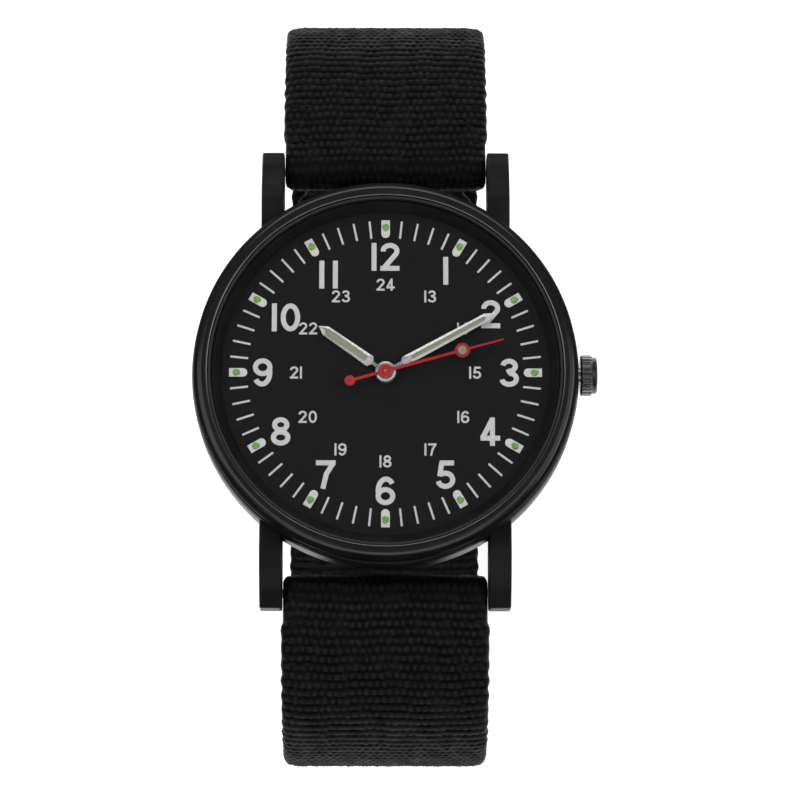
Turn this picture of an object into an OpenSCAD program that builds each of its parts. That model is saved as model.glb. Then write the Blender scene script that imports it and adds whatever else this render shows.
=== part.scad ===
// Wristwatch with a round case, parallel lugs and a webbing strap.
// Origin: centre of the case back's outer face. +Z out of the dial, +Y to 12, +X to the crown.

/* [View] */
// Sub-part to show

/* [Case] */
// Outer radius of the case barrel
case_r = 18.95; // [18.8:0.05:19.05]
// Outer radius of the bezel
bezel_r = 18.75; // [18.6:0.05:18.9]
// Half of the gap between two lugs
lug_in = 10.05; // [10.0:0.01:10.15]
// Width of one lug
lug_w = 2.2; // [2:0.1:2.4]
// Distance from the dial's centre to a lug's tip
lug_tip = 22.84; // [22.6:0.02:23]

/* [Dial] */
// Inner end of the hour markers
mark_in = 13.5; // [13.2:0.1:13.8]
// Outer end of the hour markers
mark_out = 15.25; // [15:0.05:15.4]
// Time shown, in minutes past noon
time_min = 610.2; // [0:0.1:719]

/* [Hands] */
// Length of the hour hand
hour_len = 8.0; // [7:0.1:8.6]
// Length of the minute hand
minute_len = 12.1; // [11:0.1:12.8]
// Length of the seconds hand
second_len = 12.0; // [11:0.1:12.8]

/* [Crown] */
// Radius over the crown's flutes
crown_r = 2.0; // [1.9:0.05:2.1]
// Number of flutes
crown_flutes = 30; // [24:1:34]

/* [Strap] */
// Thickness of the webbing
web_t = 1.15; // [1.05:0.05:1.2]
// Width of the strap past the lugs
strap_w = 20.2; // [20:0.1:20.4]
// Width of the strap between the lugs
fold_w = 19.8; // [19.6:0.05:19.9]
// Pitch of the holes along the strap
hole_pitch = 6; // [5.5:0.5:6]

/* [Hidden] */
$fn = 64;
eps = 0.02;

// heights of the stack
case_bottom = 1.3;
case_top = 6.35;
neck_top = 7.1;
dial_z = 6.3;
dial_t = 0.4;
crystal_r = 17.0;
crystal_z = 7.4;
crystal_top = 8.4;
plate_z = 3.9;
plate_top = 5.2;
plate_r = 11.6;
bore_r = 16.6;
neck_r = 17.9;
seat_r = 17.1;
stem_z = 4.9;
bar_y = 21.2;
bar_z = 2.2;
bar_r = 0.75;
tip_r = 0.4;
pin_reach = 11.4;

// wheel axes on the plate
third_c = 3.06;
inter_c = 3.024;
rotor_c = 2.24;
function polar(r, a) = [r * cos(a), r * sin(a)];
third_a = 330;
inter_a = 60;
rotor_a = 110;
third_p = polar(third_c, third_a);
inter_p = polar(inter_c, inter_a);
rotor_p = inter_p + polar(rotor_c, rotor_a);
minute_p = [2.4, 0];
setting_p = [5.4, 0];
battery_p = [-6.2, -5.0];
battery_r = 3.4;
coil_y = 8.2;

// angles of the hands, clockwise from 12
hour_a = time_min / 2;
minute_a = time_min * 6;
second_a = 74.6;

// strap path: an arc chain in the Y-Z plane, each point [y, z, heading]
bar_c = [bar_y, bar_z];
start_h = -14;
web_off = bar_r + 0.05 + web_t / 2;
function lead(c, h, d) = [c.x - d * sin(h), c.y + d * cos(h), h];
function arc_centre(p, r) = [p.x + r * sin(p.z), p.y - r * cos(p.z)];
function arc_points(p, r, turn, n) = [for (i = [0:n])
    let (c = arc_centre(p, r), h = p.z - turn * i / n) [c.x - r * sin(h), c.y + r * cos(h), h]];
function last(v) = v[len(v) - 1];
function tail(v) = [for (i = [1:len(v) - 1]) v[i]];
function off(v, d) = [for (p = v) [p.x - d * sin(p.z), p.y + d * cos(p.z)]];
function flip(v) = [for (i = [len(v) - 1:-1:0]) v[i]];
function band(v, a, b) = concat(off(v, b), flip(off(v, a)));
start = lead(bar_c, start_h, web_off);
low_r = 50;
short_a = arc_points(start, 45, 14, 4);
short_b = arc_points(last(short_a), 17, 112, 32);
short_c = arc_points(last(short_b), low_r, 35, 20);
short_path = concat(short_a, tail(short_b), tail(short_c));
short_end = last(short_path);
low_c = arc_centre(last(short_b), low_r);
inner_r = 47.35;
tail_turn = 36;
long_a = arc_points(start, 45, 7, 3);
long_b = arc_points(last(long_a), 16, 119, 34);
long_c = arc_points(last(long_b), 52, 40, 20);
long_d = arc_points(last(long_c), inner_r, tail_turn, 18);
long_path = concat(long_a, tail(long_b), tail(long_c), tail(long_d));
long_c_c = arc_centre(last(long_b), 52);
long_d_c = arc_centre(last(long_c), inner_r);

// buckle
pin_r = 0.6;
fold_r = 1.85;
frame_tilt = 4.5;
frame_in = 10.4;
frame_out = 12.7;
frame_len = 13.2;
frame_bar = 1.8;
frame_t = 1.7;

// helpers
module side(w) {
    rotate([90, 0, 90]) linear_extrude(w, center = true) children();
}
module along_x(x0, x1) {
    translate([x0, 0, 0]) rotate([90, 0, 90]) linear_extrude(x1 - x0) children();
}
module slab(z0, z1) {
    translate([0, 0, z0]) linear_extrude(z1 - z0) children();
}
module ring(r_in, r_out, z0, z1) {
    slab(z0, z1) difference() {
        circle(r_out);
        circle(r_in);
    }
}
module rod(r, z0, z1) {
    translate([0, 0, z0]) cylinder(h = z1 - z0, r = r);
}
module rod_x(r, x0, x1) {
    translate([x0, 0, 0]) rotate([0, 90, 0]) cylinder(h = x1 - x0, r = r);
}
module at_stem() {
    translate([0, 0, stem_z]) children();
}
module at_bar(s) {
    translate([0, s * bar_y, bar_z]) children();
}
module clockwise(a) {
    rotate([0, 0, -a]) children();
}

// flat gear with straight-flanked teeth; a tooth or a gap points along aim
module gear(teeth, m, z0, z1, bore, aim, tooth) {
    pitch = teeth * m / 2;
    root = pitch - 1.15 * m;
    tip = pitch + 0.8 * m;
    step = 360 / teeth;
    turn = tooth ? aim : aim + step / 2;
    slab(z0, z1) difference() {
        polygon([for (i = [0:teeth - 1], k = [[-0.29, root], [-0.12, tip], [0.12, tip], [0.29, root]])
            polar(k.y, turn + step * (i + k.x))]);
        circle(bore);
    }
}
module wheel(teeth, m, z0, z1, bore, aim, tooth) {
    spoke_r = teeth * m / 4.2;
    difference() {
        gear(teeth, m, z0, z1, bore, aim, tooth);
        for (a = [45:90:315])
            rotate([0, 0, a]) translate([spoke_r, 0, 0]) rod(teeth * m / 10, z0 - 1, z1 + 1);
    }
}

// case
module lug_side(inset) {
    polygon([[13.6, 1.5], [13.6, 5.9 - inset], [17.6, 6.15 - inset], [19.4, 5.75 - inset],
        [21.2, 4.95 - inset], [22.45 - inset, 4.1 - inset], [lug_tip - inset, 3.6 - inset],
        [lug_tip - inset, 1.5], [22.3, 0.95], [20.2, 0.75], [17, 1.2]]);
}
module lug() {
    bevel = 0.22;
    hull() {
        along_x(lug_in, lug_in + lug_w) lug_side(bevel);
        along_x(lug_in + bevel, lug_in + lug_w - bevel) lug_side(0);
    }
}
module case_middle() {
    color([0.1, 0.1, 0.1]) difference() {
        union() {
            rotate_extrude($fn = 128) polygon([[seat_r, case_bottom], [18.1, case_bottom],
                [case_r - 0.2, 1.9], [case_r, 2.6], [case_r, 5.4], [case_r - 0.12, 6.05],
                [18.5, case_top], [neck_r, case_top], [neck_r, neck_top], [seat_r, neck_top],
                [seat_r, dial_z], [bore_r, dial_z], [bore_r, 1.95], [seat_r, 1.95]]);
            for (mx = [0, 1], my = [0, 1]) mirror([mx, 0, 0]) mirror([0, my, 0]) lug();
        }
        at_stem() rod_x(0.95, bore_r - 1, case_r + 1);
        for (s = [-1, 1], k = [0, 1])
            at_bar(s) mirror([k, 0, 0]) rod_x(0.45, lug_in - 0.5, pin_reach + 0.1);
    }
}
module bezel() {
    round_r = 0.9;
    color([0.06, 0.06, 0.06]) rotate_extrude($fn = 128) polygon(concat(
        [[17.32, 7.15], [17.32, 8.25], [17.45, 8.42]],
        [for (a = [90:-10:0]) [bezel_r - round_r, 7.55] + polar(round_r, a)],
        [[bezel_r, 7.0], [bezel_r - 0.12, 6.4], [neck_r + eps, 6.4], [neck_r + eps, 7.15]]));
}
module crystal() {
    color([0.8, 0.9, 1, 0.3]) rotate_extrude($fn = 128) polygon([[0, crystal_z],
        [crystal_r, crystal_z], [crystal_r, crystal_top - 0.2], [crystal_r - 0.2, crystal_top],
        [0, crystal_top]]);
}
module crystal_gasket() {
    color([0.2, 0.2, 0.2]) ring(crystal_r + eps, 17.3, crystal_z + eps, 8.2);
}
module rehaut_ring() {
    color([0.07, 0.07, 0.07]) rotate_extrude($fn = 128) polygon([[15.85, dial_z + eps],
        [seat_r - eps, dial_z + eps], [seat_r - eps, crystal_z - eps], [16.8, crystal_z - eps],
        [15.85, dial_z + 0.15]]);
}
module case_back() {
    wrench_r = 15.2;
    color([0.6, 0.6, 0.62]) difference() {
        rotate_extrude($fn = 128) polygon([[0, 0], [14.5, 0], [16.8, 0.55], [17.6, case_bottom - eps],
            [16.5, case_bottom - eps], [16.5, 2.3], [15.9, 2.3], [15.9, 0.85], [0, 0.85]]);
        for (a = [0:60:300])
            rotate([0, 0, a + 30]) translate([wrench_r + 0.9, 0, 0]) cube([1.4, 2.2, 0.9], center = true);
    }
}
module case_back_gasket() {
    color([0.15, 0.15, 0.15]) rotate_extrude() translate([16.8, case_bottom + 0.31]) circle(0.24, $fn = 32);
}

// dial and hands
module dial() {
    color([0.12, 0.12, 0.125]) ring(0.95, 16.5, dial_z - dial_t, dial_z);
}
module hour_markers() {
    w = 0.9;
    color([0.8, 0.8, 0.78]) slab(dial_z, dial_z + 0.06) for (a = [0:30:330])
        rotate(a) translate([0, mark_in + w / 2]) {
            circle(w / 2, $fn = 32);
            translate([-w / 2, 0]) square([w, mark_out - mark_in - w / 2]);
        }
}
// pointed hand along +Y: hub, neck, body and tip, open for its lume
module pointed_hand(len, w, body_y, hub_r, hole_r, z, lume) {
    neck = 0.17;
    shoulder = 0.35;
    point_len = 1.3;
    difference() {
        union() {
            rod(hub_r, z[0], z[1]);
            slab(z[0], z[1]) polygon([[-neck, 0], [-neck, body_y - shoulder], [-w / 2, body_y],
                [-w * 0.42, len - point_len], [0, len], [w * 0.42, len - point_len],
                [w / 2, body_y], [neck, body_y - shoulder], [neck, 0]]);
        }
        rod(hole_r, z[0] - 1, z[1] + 1);
        slab(z[0] - 1, z[1] + 1) lume_outline(lume, 0.01);
    }
}
// lume = [width, inner end, outer end]; g widens it all round
module lume_outline(lume, g) {
    w = lume[0] + 2 * g;
    polygon([[-w / 2, lume[1] - g], [-w * 0.36, lume[2] - 0.5], [0, lume[2] + g],
        [w * 0.36, lume[2] - 0.5], [w / 2, lume[1] - g]]);
}
hour_fill = [0.6, 2.25, 7.3];
minute_fill = [0.46, 2.9, 11.3];
hour_z = [6.55, 6.7];
minute_z = [6.85, 7.0];
second_z = [7.12, 7.24];
module hour_hand() {
    color([0.75, 0.75, 0.75]) clockwise(hour_a)
        pointed_hand(hour_len, 1.15, 1.85, 1.35, 0.88, hour_z, hour_fill);
}
module hour_lume() {
    color([0.55, 0.58, 0.48]) clockwise(hour_a)
        slab(hour_z[0] + eps, hour_z[1]) lume_outline(hour_fill, 0);
}
module minute_hand() {
    color([0.75, 0.75, 0.75]) clockwise(minute_a)
        pointed_hand(minute_len, 0.9, 2.1, 1.05, 0.55, minute_z, minute_fill);
}
module minute_lume() {
    color([0.55, 0.58, 0.48]) clockwise(minute_a)
        slab(minute_z[0] + eps, minute_z[1]) lume_outline(minute_fill, 0);
}
lume_ring_y = 7.77;
module seconds_hand() {
    weight_y = -3.6;
    color([0.7, 0.1, 0.1]) clockwise(second_a) difference() {
        union() {
            slab(second_z[0], second_z[1]) {
                polygon([[-0.14, weight_y], [-0.14, 2], [-0.1, second_len], [0.1, second_len],
                    [0.14, 2], [0.14, weight_y]]);
                translate([0, weight_y]) circle(0.52);
                translate([0, lume_ring_y]) circle(0.73);
            }
            rod(0.68, second_z[0], 7.32);
        }
        rod(0.15, 7, 8);
        translate([0, lume_ring_y, 0]) rod(0.45, 7, 8);
    }
}
module seconds_lume() {
    color([0.6, 0.62, 0.5]) clockwise(second_a)
        translate([0, lume_ring_y, 0]) rod(0.44, second_z[0] + eps, second_z[1]);
}
module dial_washer() {
    color([0.8, 0.7, 0.4]) ring(0.95, 1.8, 5.79, 5.87);
}

// movement
pillars = [[-4.2, 1.6], [5.9, 2.2], [0.5, -5.4]];
module main_plate() {
    slot_x = 6.7;
    color([0.75, 0.65, 0.4]) difference() {
        union() {
            slab(plate_z, plate_top) circle(plate_r);
            ring(10.9, plate_r, plate_top - 0.1, 5.88);
            translate([minute_p.x, 0, 0]) rod(0.17, plate_top - 0.1, 5.78);
            translate([setting_p.x, 0, 0]) rod(0.2, plate_top - 0.1, 5.5);
            translate([7.2, -3.3, 0]) rod(0.3, plate_top - 0.1, 5.75);
            translate([9.3, 2.4, 0]) rod(0.3, plate_top - 0.1, 5.75);
        }
        rod(0.42, plate_z - 1, plate_top + 1);
        for (p = [third_p, inter_p, rotor_p])
            translate([p.x, p.y, 0]) rod(0.16, plate_z - 1, plate_z + 0.5);
        translate([slot_x, -1.05, plate_z - 0.5]) cube([6, 2.1, 3]);
        at_stem() rod_x(0.25, 5.3, slot_x + 1);
    }
}
module train_bridge() {
    color([0.7, 0.7, 0.7]) difference() {
        union() {
            slab(1.9, 2.4) hull() for (p = concat(pillars, [rotor_p]))
                translate(p) circle(1.0, $fn = 32);
            for (p = pillars) translate([p.x, p.y, 0]) rod(0.6, 2.3, plate_z);
        }
        rod(0.19, 1, 3);
        for (p = [third_p, inter_p, rotor_p]) translate([p.x, p.y, 0]) rod(0.16, 1, 3);
        for (p = pillars) translate([p.x, p.y, 0]) rod(0.32, 1, 3.2);
    }
}
module movement_screws() {
    color([0.6, 0.6, 0.65]) for (p = pillars) translate([p.x, p.y, 0]) difference() {
        union() {
            rod(0.55, 1.6, 1.9);
            rod(0.3, 1.8, 3.1);
        }
        translate([-0.6, -0.07, 1.5]) cube([1.2, 0.14, 0.22]);
    }
}
module movement_ring() {
    color([0.85, 0.85, 0.82]) difference() {
        ring(plate_r + 0.1, bore_r - 0.08, 2.45, 5.87);
        at_stem() rod_x(0.7, plate_r - 1, bore_r + 1);
    }
}
module circuit_board() {
    color([0.1, 0.35, 0.2]) slab(3.6, 3.85) polygon([[2.0, -4.7], [8.4, -4.7], [7.6, -8.2],
        [4.6, -10.3], [1.8, -10.6], [1.8, -6.6]]);
}
module ic_chip() {
    color([0.05, 0.05, 0.05]) translate([4.2, -7.0, 3.1]) cube([1.8, 1.8, 0.49]);
}
module quartz_can() {
    color([0.7, 0.7, 0.72]) translate([0, -9.3, 2.83]) rod_x(0.75, 1.9, 5.6);
}
module coil_core() {
    color([0.5, 0.5, 0.5]) translate([-5.6, coil_y - 0.4, 2.45]) cube([11.2, 0.8, 0.5]);
}
module coil() {
    color([0.7, 0.35, 0.15]) difference() {
        translate([0, coil_y, 2.7]) rod_x(1.1, -4.4, 4.4);
        translate([-5, coil_y - 0.42, 2.43]) cube([10, 0.84, 0.54]);
    }
}
module stator() {
    color([0.55, 0.55, 0.56]) difference() {
        slab(2.98, 3.28) {
            for (x = [-5.6, 4.7]) translate([x, 3.7]) square([0.9, 4.9]);
            translate([-5.6, 3.7]) square([11.2, 2.1]);
        }
        translate([rotor_p.x, rotor_p.y, 0]) rod(0.75, 2, 4);
    }
}
module rotor() {
    color([0.4, 0.4, 0.42]) translate([rotor_p.x, rotor_p.y, 0]) {
        rod(0.12, 2.0, 4.3);
        gear(8, 0.08, 2.46, 2.68, 0.05, rotor_a + 180, true);
        rod(0.6, 2.95, 3.42);
    }
}
module intermediate_wheel() {
    color([0.8, 0.65, 0.3]) translate([inter_p.x, inter_p.y, 0]) {
        rod(0.12, 2.0, 4.3);
        wheel(48, 0.08, 2.5, 2.62, 0.05, rotor_a, false);
        gear(9, 0.112, 2.6, 2.95, 0.05, inter_a + 180, true);
    }
}
module seconds_wheel() {
    color([0.8, 0.65, 0.3]) {
        rod(0.15, 2.0, 7.3);
        wheel(45, 0.112, 2.74, 2.9, 0.05, inter_a, false);
        gear(8, 0.09, 2.88, 3.18, 0.05, third_a, true);
    }
}
module third_wheel() {
    color([0.8, 0.65, 0.3]) translate([third_p.x, third_p.y, 0]) {
        rod(0.12, 2.0, 4.3);
        wheel(60, 0.09, 3.0, 3.12, 0.05, third_a + 180, false);
        gear(8, 0.085, 3.1, 3.66, 0.05, third_a + 180, true);
    }
}
module centre_wheel() {
    color([0.8, 0.65, 0.3]) {
        ring(0.19, 0.36, 3.35, 6.6);
        wheel(64, 0.085, 3.45, 3.6, 0.3, third_a, false);
    }
}
module cannon_pinion() {
    color([0.75, 0.7, 0.5]) {
        ring(0.36, 0.55, 5.24, 7.05);
        gear(10, 0.12, 5.24, 5.5, 0.4, 0, false);
    }
}
module minute_wheel() {
    color([0.8, 0.65, 0.3]) translate([minute_p.x, 0, 0]) {
        gear(30, 0.12, 5.26, 5.44, 0.21, 0, true);
        gear(8, 0.12, 5.42, 5.76, 0.21, 180, true);
    }
}
module hour_wheel() {
    color([0.8, 0.65, 0.3]) {
        gear(32, 0.12, 5.56, 5.75, 0.7, 0, false);
        ring(0.6, 0.88, 5.56, 6.72);
    }
}
module setting_wheel() {
    color([0.8, 0.65, 0.3]) translate([setting_p.x, 0, 0])
        gear(20, 0.12, 5.26, 5.44, 0.24, 180, false);
}

// winding and setting parts
lever_p = [9.3, 2.4];
yoke_p = [7.2, -3.3];
module sliding_pinion() {
    color([0.6, 0.6, 0.62]) at_stem() difference() {
        union() {
            rod_x(0.62, 6.9, 8.3);
            along_x(6.9, 7.4) polygon([for (i = [0:15], k = [[0, 0.84], [0.5, 0.66]])
                polar(k.y, 360 / 16 * (i + k.x))]);
            rod_x(0.84, 8.0, 8.3);
        }
        translate([6, -0.34, -0.34]) cube([3, 0.68, 0.68]);
    }
}
module stem() {
    color([0.6, 0.6, 0.62]) at_stem() {
        rod_x(0.22, 5.5, 6.8);
        translate([6.7, -0.31, -0.31]) cube([2.3, 0.62, 0.62]);
        rod_x(0.25, 8.9, 9.6);
        rod_x(0.45, 9.55, 19.98);
    }
}
module setting_lever() {
    color([0.65, 0.65, 0.66]) translate([lever_p.x, lever_p.y, 0]) difference() {
        union() {
            slab(5.42, 5.62) {
                circle(0.75);
                translate([-0.3, -2.7]) square([0.6, 2.7]);
                translate([-1.8, -0.3]) square([1.8, 0.6]);
            }
            translate([0, -2.4, 0]) rod(0.12, 5.2, 5.5);
        }
        rod(0.34, 5, 6);
    }
}
module yoke() {
    color([0.65, 0.65, 0.66]) translate([yoke_p.x, yoke_p.y, 0]) difference() {
        slab(5.42, 5.62) {
            circle(0.75);
            translate([0.2, 0]) square([0.5, 2.15]);
            translate([-3.0, -0.3]) square([3.0, 0.6]);
        }
        rod(0.34, 5, 6);
    }
}
module crown() {
    inner_x = 19.06;
    color([0.1, 0.1, 0.1]) at_stem() difference() {
        union() {
            along_x(inner_x, 20.2) polygon([for (i = [0:crown_flutes - 1],
                k = [[0, crown_r], [0.28, crown_r], [0.42, crown_r - 0.2], [0.86, crown_r - 0.2]])
                polar(k.y, 360 / crown_flutes * (i + k.x))]);
            rod_x(crown_r - 0.2, 20.1, 20.55);
            rod_x(crown_r - 0.35, 20.5, 20.72);
        }
        rod_x(1.38, inner_x - 1, 19.86);
        rod_x(0.45, 19, 19.98);
    }
}
module crown_gasket() {
    color([0.2, 0.2, 0.2]) at_stem() difference() {
        rod_x(1.36, 19.3, 19.6);
        rod_x(0.98, 19, 20);
    }
}
module crown_tube() {
    color([0.65, 0.65, 0.66]) at_stem() difference() {
        rod_x(0.94, bore_r + 0.03, 19.7);
        rod_x(0.52, bore_r - 1, 20);
    }
}

// battery
module battery() {
    color([0.75, 0.75, 0.76]) translate([battery_p.x, battery_p.y, 0]) {
        rod(battery_r, 1.35, 3.74);
        rod(2.8, 1.15, 1.4);
    }
}
module battery_contact() {
    color([0.8, 0.75, 0.5]) translate([battery_p.x, battery_p.y, 3.76]) rotate([0, 0, 40])
        translate([-0.6, -2.5, 0]) cube([1.2, 5, 0.12]);
}
module battery_clamp() {
    color([0.7, 0.7, 0.7]) translate([battery_p.x, battery_p.y, 0.94]) rotate([0, 0, -50])
        translate([-4.4, -0.8, 0]) cube([8.8, 1.6, 0.18]);
}

// spring bars
module spring_bar(s) {
    color([0.6, 0.6, 0.6]) at_bar(s) difference() {
        rod_x(bar_r, -9.3, 9.3);
        rod_x(0.6, -10, 10);
    }
}
module bar_pin(s, k) {
    color([0.65, 0.65, 0.65]) at_bar(s) mirror([k, 0, 0]) {
        rod_x(0.55, 6.5, 9.75);
        rod_x(tip_r, 9.7, pin_reach);
    }
}
module spring_bar_12() {
    spring_bar(1);
}
module spring_bar_6() {
    spring_bar(-1);
}
module bar_pin_12_right() {
    bar_pin(1, 0);
}
module bar_pin_12_left() {
    bar_pin(1, 1);
}
module bar_pin_6_right() {
    bar_pin(-1, 0);
}
module bar_pin_6_left() {
    bar_pin(-1, 1);
}

// strap
module lug_fold() {
    fold_out = bar_r + 0.05 + web_t;
    side(fold_w) translate(bar_c) rotate(start_h) {
        circle(fold_out);
        polygon([[0, -fold_out], [3.4, -fold_out + 0.95], [9, -fold_out + 0.6], [9.6, -0.8], [9, -0.2], [4, 0.9], [0, 0.9]]);
        translate([0, web_off - web_t / 2]) square([3, web_t]);
    }
}
module lug_fold_bore() {
    translate([0, bar_y, bar_z]) rod_x(bar_r + 0.05, -12, 12);
}
module web(path, w) {
    side(w) polygon(band(path, -web_t / 2, web_t / 2));
}
wide_from = 2.7;
module widened(path) {
    difference() {
        web(path, strap_w);
        translate([0, bar_y, bar_z]) rod_x(wide_from, -12, 12);
    }
}
module strap_short() {
    color([0.09, 0.09, 0.09]) difference() {
        union() {
            widened(short_path);
            lug_fold();
            side(strap_w) translate([short_end.x, short_end.y]) {
                circle(fold_r);
                rotate(short_end.z) polygon([[0, -fold_r], [-6, -web_t / 2], [-6, web_t / 2], [0, fold_r]]);
            }
        }
        lug_fold_bore();
        translate([0, short_end.x, short_end.y]) {
            rod_x(pin_r + 0.03, -12, 12);
            translate([-1.5, -3, -3]) cube([3, 6, 6]);
        }
    }
}
// one hole through the webbing, on the arc about c at angle a from straight down
module strap_hole(c, r, a) {
    translate([0, c.x, c.y]) rotate([a, 0, 0]) rod(0.9, -r - 2, -r + 2);
}
module strap_long() {
    step_d = hole_pitch / inner_r * 180 / PI;
    step_c = hole_pitch / 52 * 180 / PI;
    color([0.09, 0.09, 0.09]) mirror([0, 1, 0]) difference() {
        union() {
            widened(long_path);
            lug_fold();
        }
        lug_fold_bore();
        for (i = [0:3]) strap_hole(long_d_c, inner_r, -step_d * (i + 0.6));
        for (i = [0:2]) strap_hole(long_c_c, 52, step_c * (i + 0.4));
        for (k = [-1, 1]) translate([0, long_d_c.x, long_d_c.y]) rotate([-tail_turn, 0, 0])
            translate([k * (strap_w / 2 + 3), -1.5, -inner_r]) rotate([0, 0, 45]) cube([9, 9, 6], center = true);
    }
}
// closed band round the webbing, on the low arc from a0 to a1 degrees past straight down
module keeper(a0, a1) {
    gap = 0.12;
    wall = 0.75;
    module frame2d(g) {
        translate([low_r - web_t / 2 - g, -strap_w / 2 - g]) square([web_t + 2 * g, strap_w + 2 * g]);
    }
    color([0.09, 0.09, 0.09]) translate([0, low_c.x, low_c.y]) rotate([0, 90, 0])
        rotate([0, 0, a0]) rotate_extrude(angle = a1 - a0, $fn = 180) difference() {
            frame2d(wall);
            frame2d(gap);
        }
}
fixed_at = [15, 19];
loose_at = [23.5, 27.5];
module keeper_fixed() {
    keeper(fixed_at[0], fixed_at[1]);
}
module keeper_loose() {
    keeper(loose_at[0], loose_at[1]);
}

// buckle, drawn from its pin along -Y with its outer face down
module at_pin() {
    translate([0, short_end.x, short_end.y]) rotate([frame_tilt, 0, 0]) children();
}
module buckle_frame() {
    color([0.12, 0.12, 0.12]) at_pin() difference() {
        translate([0, 0, -frame_t / 2]) linear_extrude(frame_t) difference() {
            union() {
                translate([-frame_out, -frame_len + 2]) square([2 * frame_out, frame_len - 0.6]);
                for (k = [-1, 1]) translate([k * (frame_out - 2), -frame_len + 2]) circle(2);
                translate([-frame_out + 2, -frame_len]) square([2 * frame_out - 4, 3]);
            }
            translate([-frame_in, -frame_len + frame_bar]) square([2 * frame_in, frame_len + 4]);
        }
        for (k = [0, 1]) mirror([k, 0, 0]) rod_x(pin_r + 0.03, frame_in - 1, 12.2);
        translate([-1.3, -frame_len - 1, -frame_t / 2 - 1]) cube([2.6, frame_bar + 1.5, 1.85]);
    }
}
module buckle_tongue() {
    eye_r = 1.3;
    color([0.12, 0.12, 0.12]) at_pin() difference() {
        union() {
            rod_x(eye_r, -1.2, 1.2);
            translate([-0.95, -frame_len, -frame_t / 2]) cube([1.9, frame_len, 0.78]);
        }
        rod_x(pin_r + 0.03, -3, 3);
    }
}
module buckle_pin() {
    color([0.5, 0.5, 0.5]) at_pin() rod_x(pin_r, -12.1, 12.1);
}

case_middle();
bezel();
crystal();
crystal_gasket();
rehaut_ring();
dial();
hour_markers();
hour_hand();
hour_lume();
minute_hand();
minute_lume();
seconds_hand();
seconds_lume();
dial_washer();
main_plate();
train_bridge();
movement_screws();
movement_ring();
circuit_board();
ic_chip();
quartz_can();
coil_core();
coil();
stator();
rotor();
intermediate_wheel();
seconds_wheel();
third_wheel();
centre_wheel();
cannon_pinion();
minute_wheel();
hour_wheel();
setting_wheel();
sliding_pinion();
stem();
setting_lever();
yoke();
crown();
crown_gasket();
crown_tube();
battery();
battery_contact();
battery_clamp();
case_back();
case_back_gasket();
spring_bar_12();
spring_bar_6();
bar_pin_12_right();
bar_pin_12_left();
bar_pin_6_right();
bar_pin_6_left();
strap_short();
strap_long();
keeper_fixed();
keeper_loose();
buckle_frame();
buckle_tongue();
buckle_pin();
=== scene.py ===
"""Wristwatch with a webbing strap: the visual model over its CAD frame."""
import math

import bmesh
import bpy
import numpy as np
from mathutils import Matrix, Vector


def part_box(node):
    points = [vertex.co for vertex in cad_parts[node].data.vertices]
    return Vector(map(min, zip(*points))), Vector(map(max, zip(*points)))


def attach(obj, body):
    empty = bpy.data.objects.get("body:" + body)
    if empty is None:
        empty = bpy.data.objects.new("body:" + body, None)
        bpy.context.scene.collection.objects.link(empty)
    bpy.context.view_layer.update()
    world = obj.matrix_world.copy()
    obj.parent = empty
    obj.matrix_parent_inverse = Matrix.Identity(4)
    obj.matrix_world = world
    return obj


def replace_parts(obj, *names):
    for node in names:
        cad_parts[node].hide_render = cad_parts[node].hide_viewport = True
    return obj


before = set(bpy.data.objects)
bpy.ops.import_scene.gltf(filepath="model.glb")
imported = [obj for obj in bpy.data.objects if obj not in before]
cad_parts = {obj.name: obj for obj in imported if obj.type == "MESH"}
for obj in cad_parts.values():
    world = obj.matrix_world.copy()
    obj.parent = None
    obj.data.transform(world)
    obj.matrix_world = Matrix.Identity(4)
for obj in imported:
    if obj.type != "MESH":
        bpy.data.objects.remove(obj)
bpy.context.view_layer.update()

MM = 0.001
TAU = 2 * math.pi
DIAL_Z = 6.3
BAR_Y, BAR_Z = 21.2, 2.2
STEM_Z = 4.9
LUG_IN, LUG_W, LUG_TIP = 10.05, 2.2, 22.84
MARK_IN, MARK_OUT = 13.5, 15.28
PLOT_T = 0.055
WEB_T = 1.15
STRAP_W = 20.2
BETWEEN_LUGS = 19.94
HOUR_ANGLE, MINUTE_ANGLE, SECOND_ANGLE = 305.1, 61.2, 74.6


# ---------------------------------------------------------------- materials
def principled(name, color, rough, metal=0.0, spec=0.5, coat=0.0, coat_rough=0.1, sheen=0.0):
    mat = bpy.data.materials.new(name)
    mat.use_nodes = True
    node = mat.node_tree.nodes["Principled BSDF"]
    node.inputs["Base Color"].default_value = (*color, 1)
    node.inputs["Roughness"].default_value = rough
    node.inputs["Metallic"].default_value = metal
    node.inputs["Specular IOR Level"].default_value = spec
    node.inputs["Coat Weight"].default_value = coat
    node.inputs["Coat Roughness"].default_value = coat_rough
    node.inputs["Sheen Weight"].default_value = sheen
    return mat, node


def add(mat, kind, **inputs):
    node = mat.node_tree.nodes.new(kind)
    for key, value in inputs.items():
        node.inputs[key.replace("_", " ")].default_value = value
    return node


def wire(mat, a, out, b, into):
    mat.node_tree.links.new(a.outputs[out], b.inputs[into])


def noise(mat, scale, detail=4.0, stretch=None):
    coords = add(mat, "ShaderNodeTexCoord")
    tex = add(mat, "ShaderNodeTexNoise", Scale=scale, Detail=detail)
    if stretch:
        mapping = add(mat, "ShaderNodeMapping", Scale=stretch)
        wire(mat, coords, "Object", mapping, "Vector")
        wire(mat, mapping, "Vector", tex, "Vector")
    else:
        wire(mat, coords, "Object", tex, "Vector")
    return tex


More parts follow.
